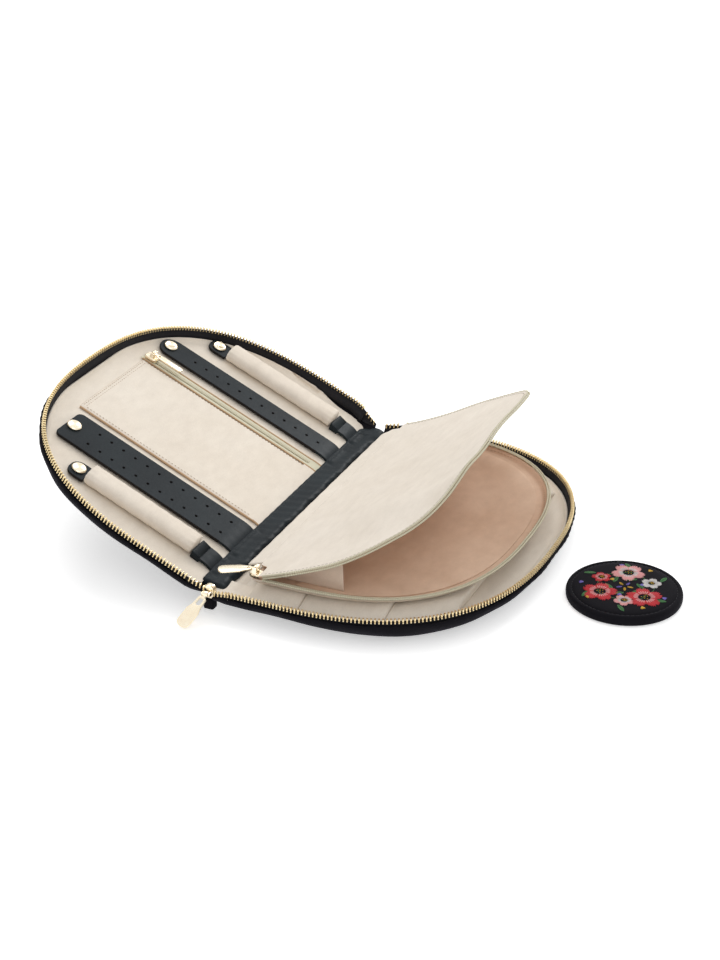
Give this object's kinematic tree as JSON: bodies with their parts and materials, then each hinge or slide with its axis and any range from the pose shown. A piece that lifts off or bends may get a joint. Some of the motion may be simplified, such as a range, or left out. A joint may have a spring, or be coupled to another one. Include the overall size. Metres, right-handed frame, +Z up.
{
  "type": "jewelry organizer",
  "caption": "Zip-around velvet travel jewelry case lying open like a book, with ring rolls, earring straps, zip pockets and a loose round mirror.",
  "frame": {"origin": "on the tray's flat underside, below the middle of the tray", "axes": "+X from the spine to the tray's free end, +Y along the spine to its back end, +Z up"},
  "size_m": [0.4008, 0.2766, 0.0996],
  "materials": {
    "black_velvet": "deep black short-pile velvet",
    "zip_tape": "black woven tape",
    "cream_suede": "matt cream suede cloth",
    "cream_suede_shade": "matt cream suede cloth, second tone",
    "pouch_cloth": "matt tan cloth",
    "slate_leather": "soft satin slate-blue leather",
    "gold_metal": "polished pale gold",
    "coil": "pale woven tape and plastic coil",
    "mirror_glass": "silvered glass"
  },
  "bodies": {
    "tray": {"tray_shell": "black_velvet", "tray_zip_tape": "zip_tape", "tray_zip_teeth": "gold_metal", "tray_lining": "cream_suede", "slip_pocket_1": "cream_suede_shade", "slip_pocket_2": "cream_suede_shade", "slip_pocket_3": "cream_suede_shade", "zip_slider": "gold_metal", "zip_tail_tape": "zip_tape", "zip_tail_teeth": "gold_metal", "zip_end_tab": "black_velvet"},
    "zip_pull": {"zip_pull": "gold_metal"},
    "spine": {"spine_panel": "black_velvet", "spine_lining": "cream_suede", "spine_leather_band": "slate_leather"},
    "lid": {"lid_shell": "black_velvet", "lid_zip_tape": "zip_tape", "lid_zip_teeth": "gold_metal", "lid_lining": "cream_suede", "lid_zip_tail": "gold_metal", "narrow_strap_stud": "gold_metal", "wide_strap_stud": "gold_metal", "upper_roll_stud": "gold_metal", "lower_roll_stud": "gold_metal", "pocket_panel": "cream_suede_shade", "pocket_zip_tape": "coil", "pocket_zip_coil": "coil"},
    "narrow_strap": {"narrow_strap": "slate_leather", "narrow_strap_snap": "gold_metal"},
    "wide_strap": {"wide_strap": "slate_leather", "wide_strap_snap": "gold_metal"},
    "upper_roll": {"upper_ring_roll": "cream_suede", "upper_roll_anchor": "slate_leather", "upper_roll_tab": "slate_leather", "upper_roll_snap": "gold_metal"},
    "lower_roll": {"lower_ring_roll": "cream_suede", "lower_roll_anchor": "slate_leather", "lower_roll_tab": "slate_leather", "lower_roll_snap": "gold_metal"},
    "pocket_slider": {"pocket_slider": "gold_metal"},
    "pocket_pull": {"pocket_pull": "gold_metal"},
    "page_hem": {"page_hem": "cream_suede", "page_flap_root": "cream_suede"},
    "page": {"page_lower_sheet": "cream_suede", "page_lower_coil": "coil", "page_inner_pocket": "pouch_cloth", "page_slider": "gold_metal"},
    "page_pull": {"page_pull": "gold_metal"},
    "flap": {"page_flap": "cream_suede", "page_flap_coil": "coil"},
    "mirror": {"mirror_case": "black_velvet", "mirror_glass": "mirror_glass"}
  },
  "joints": [
    {"name": "spine_fold", "type": "hinge", "parent": "tray", "child": "spine", "pos_m": [-0.0775, 0, 0.003], "axis": [0, 1, 0], "range_deg": [-12.25, 77.75]},
    {"name": "lid_fold", "type": "hinge", "parent": "spine", "child": "lid", "pos_m": [-0.10682, 0, 0.00937], "axis": [0, 1, 0], "range_deg": [-12.25, 77.75], "deforming": ["lid_zip_tail"]},
    {"name": "narrow_strap_lift", "type": "hinge", "parent": "lid", "child": "narrow_strap", "pos_m": [-0.10898, 0.067, 0.01958], "axis": [0, -1, 0], "range_deg": [-95, 0]},
    {"name": "wide_strap_lift", "type": "hinge", "parent": "lid", "child": "wide_strap", "pos_m": [-0.10898, -0.062, 0.01958], "axis": [0, -1, 0], "range_deg": [-95, 0]},
    {"name": "upper_roll_lift", "type": "hinge", "parent": "lid", "child": "upper_roll", "pos_m": [-0.10976, 0.098, 0.01785], "axis": [0, -1, 0], "range_deg": [-95, 0]},
    {"name": "lower_roll_lift", "type": "hinge", "parent": "lid", "child": "lower_roll", "pos_m": [-0.10976, -0.094, 0.01785], "axis": [0, -1, 0], "range_deg": [-95, 0]},
    {"name": "pocket_slide", "type": "slide", "parent": "lid", "child": "pocket_slider", "axis": [0.91, 0, -0.4147], "range_m": [0, 0.1]},
    {"name": "pocket_pull_swing", "type": "hinge", "parent": "pocket_slider", "child": "pocket_pull", "pos_m": [-0.21995, 0.045, 0.0746], "axis": [0, 1, 0], "range_deg": [-165, 0]},
    {"name": "zip_pull_swing", "type": "hinge", "parent": "tray", "child": "zip_pull", "pos_m": [-0.0895, -0.1284, 0.0155], "axis": [-1, 0, 0], "range_deg": [0, 115]},
    {"name": "page_settle", "type": "slide", "parent": "tray", "child": "page_hem", "axis": [0, 0, 1], "range_m": [-0.0074, 0.0012], "deforming": ["slip_pocket_1", "slip_pocket_2", "slip_pocket_3", "page_flap_root"]},
    {"name": "page_turn", "type": "hinge", "parent": "page_hem", "child": "page", "pos_m": [-0.0699, 0, 0.022], "axis": [0, 1, 0], "range_deg": [-40, 0]},
    {"name": "page_pull_turn", "type": "hinge", "parent": "page", "child": "page_pull", "pos_m": [-0.067, -0.1085, 0.0279], "axis": [0, 1, 0], "range_deg": [-27.45, 171.55]},
    {"name": "flap_turn", "type": "hinge", "parent": "page", "child": "flap", "pos_m": [-0.0795, 0, 0.019], "axis": [0, 1, 0], "range_deg": [-5.64, 33.16], "deforming": ["page_flap", "page_flap_coil"]},
    {"name": "mirror_lift", "type": "slide", "parent": "tray", "child": "mirror", "axis": [0, 0, 1], "range_m": [0, 0.08]}
  ],
  "couplings": [
    {"joint": "lid_fold", "follows": "spine_fold", "ratio": 1},
    {"joint": "page_settle", "follows": "spine_fold", "m_per_rad": -0.00538},
    {"joint": "page_pull_turn", "follows": "spine_fold", "ratio": 2.2},
    {"joint": "flap_turn", "follows": "spine_fold", "ratio": 0.42}
  ]
}
